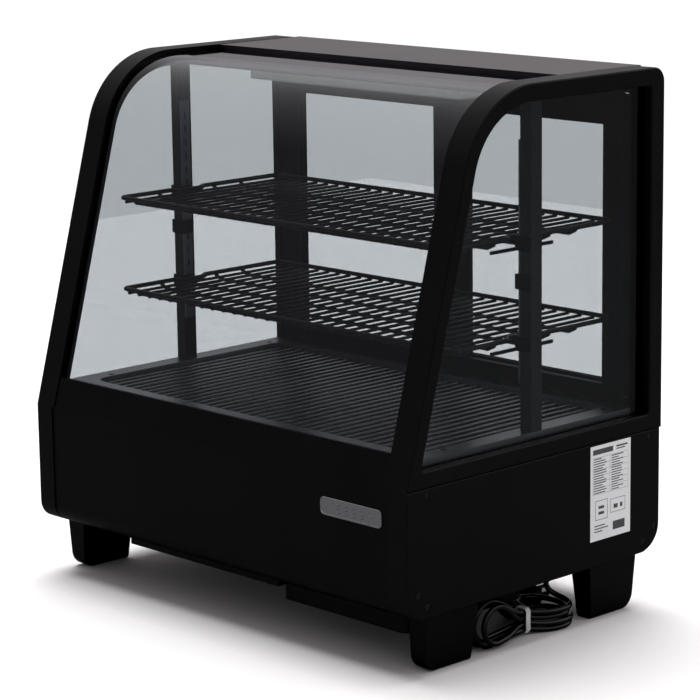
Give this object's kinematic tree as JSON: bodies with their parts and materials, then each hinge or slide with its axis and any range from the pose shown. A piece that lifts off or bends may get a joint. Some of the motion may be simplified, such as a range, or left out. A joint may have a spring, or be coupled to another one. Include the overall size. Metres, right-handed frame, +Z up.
{
  "type": "hot food display case",
  "caption": "Countertop heated food display case with a curved glass front, glass sides, wire shelves over a floor grate, and sliding rear doors.",
  "frame": {"origin": "on the floor under the middle of the case, between its four feet", "axes": "+X along the width, to the right of a customer facing the glass; +Y from the customer's side to the rear doors; +Z up"},
  "size_m": [0.682, 0.45, 0.675],
  "materials": {
    "black_plastic": "satin black moulded plastic",
    "black_steel": "black powder-coated steel sheet",
    "roof_steel": "satin dark painted steel",
    "clear_glass": "clear toughened glass",
    "rubber_seal": "matt black rubber",
    "polished_steel": "polished stainless steel",
    "black_wire": "black coated wire",
    "dark_post": "dark satin painted steel",
    "slot_strip": "satin anodised aluminium",
    "lamp_body": "grey painted steel",
    "lamp_lens": "opal plastic",
    "lamp_tube": "frosted tube",
    "zinc_steel": "zinc-plated steel",
    "heater": "heat-darkened steel sheath",
    "motor": "dark painted housing",
    "fan": "pressed aluminium",
    "control_plastic": "black gloss plastic",
    "rocker_green": "green translucent rocker",
    "terminal": "cream nylon",
    "badge": "brushed plate with plain wave lines",
    "label": "white foil with plain lines",
    "screw": "blackened steel",
    "cord": "black PVC",
    "tie": "white plastic-coated tie"
  },
  "bodies": {
    "case": {"badge": "badge", "base_front_panel": "black_steel", "bottom_pan": "zinc_steel", "ceiling_panel": "roof_steel", "cord_gland": "black_plastic", "cord_hank": "cord", "cord_tie": "tie", "end_frame_left": "black_plastic", "end_frame_right": "black_plastic", "fan_motor": "motor", "floor_plate": "polished_steel", "foot_front_left": "black_plastic", "foot_front_right": "black_plastic", "foot_rear_left": "black_plastic", "foot_rear_right": "black_plastic", "front_glass": "clear_glass", "front_glass_seal": "rubber_seal", "glass_bead_left": "black_plastic", "glass_bead_right": "black_plastic", "heater_element": "heater", "lamp_cover": "lamp_lens", "lamp_housing": "lamp_body", "lamp_tube": "lamp_tube", "light_switch_body": "control_plastic", "plenum_tray": "zinc_steel", "plug": "cord", "power_cord": "cord", "power_switch_body": "control_plastic", "rating_label": "label", "rear_panel": "black_steel", "rear_surround": "black_plastic", "screws": "screw", "shelf_clips": "black_steel", "shelf_post_left": "dark_post", "shelf_post_right": "dark_post", "side_glass_left": "clear_glass", "side_glass_right": "clear_glass", "side_panel_left": "black_plastic", "side_panel_right": "black_plastic", "slotted_strip_left": "slot_strip", "slotted_strip_right": "slot_strip", "temperature_display": "control_plastic", "terminal_block": "terminal", "thermostat": "motor", "top_panel": "roof_steel", "water_pan": "polished_steel", "wiring_box": "black_steel"},
    "left_door": {"door_frame_left": "black_plastic", "door_glass_left": "clear_glass", "door_grip_left": "black_plastic"},
    "right_door": {"door_frame_right": "black_plastic", "door_glass_right": "clear_glass", "door_grip_right": "black_plastic"},
    "upper_shelf": {"upper_shelf": "black_wire"},
    "lower_shelf": {"lower_shelf": "black_wire"},
    "floor_grate": {"floor_grate": "polished_steel"},
    "knob": {"thermostat_knob": "control_plastic"},
    "power_rocker": {"power_switch_rocker": "rocker_green"},
    "light_rocker": {"light_switch_rocker": "rocker_green"},
    "fan": {"fan_rotor": "fan"}
  },
  "joints": [
    {"name": "left_door_slide", "type": "slide", "parent": "case", "child": "left_door", "axis": [1, 0, 0], "range_m": [0, 0.266]},
    {"name": "right_door_slide", "type": "slide", "parent": "case", "child": "right_door", "axis": [-1, 0, 0], "range_m": [0, 0.266]},
    {"name": "upper_shelf_lift", "type": "slide", "parent": "case", "child": "upper_shelf", "axis": [0, 0, 1], "range_m": [0, 0.03]},
    {"name": "lower_shelf_lift", "type": "slide", "parent": "case", "child": "lower_shelf", "axis": [0, 0, 1], "range_m": [0, 0.03]},
    {"name": "floor_grate_lift", "type": "slide", "parent": "case", "child": "floor_grate", "axis": [0, 0, 1], "range_m": [0, 0.04]},
    {"name": "thermostat_turn", "type": "hinge", "parent": "case", "child": "knob", "pos_m": [-0.17, 0.21, 0.15], "axis": [0, 1, 0], "range_deg": [0, 270]},
    {"name": "power_rocker_tilt", "type": "hinge", "parent": "case", "child": "power_rocker", "pos_m": [-0.11, 0.21, 0.15], "axis": [1, 0, 0], "range_deg": [-20, 0]},
    {"name": "light_rocker_tilt", "type": "hinge", "parent": "case", "child": "light_rocker", "pos_m": [-0.08, 0.21, 0.15], "axis": [1, 0, 0], "range_deg": [-20, 0]},
    {"name": "fan_spin", "type": "hinge", "parent": "case", "child": "fan", "pos_m": [-0.09, 0, 0.12], "axis": [0, 0, 1], "continuous": true}
  ]
}
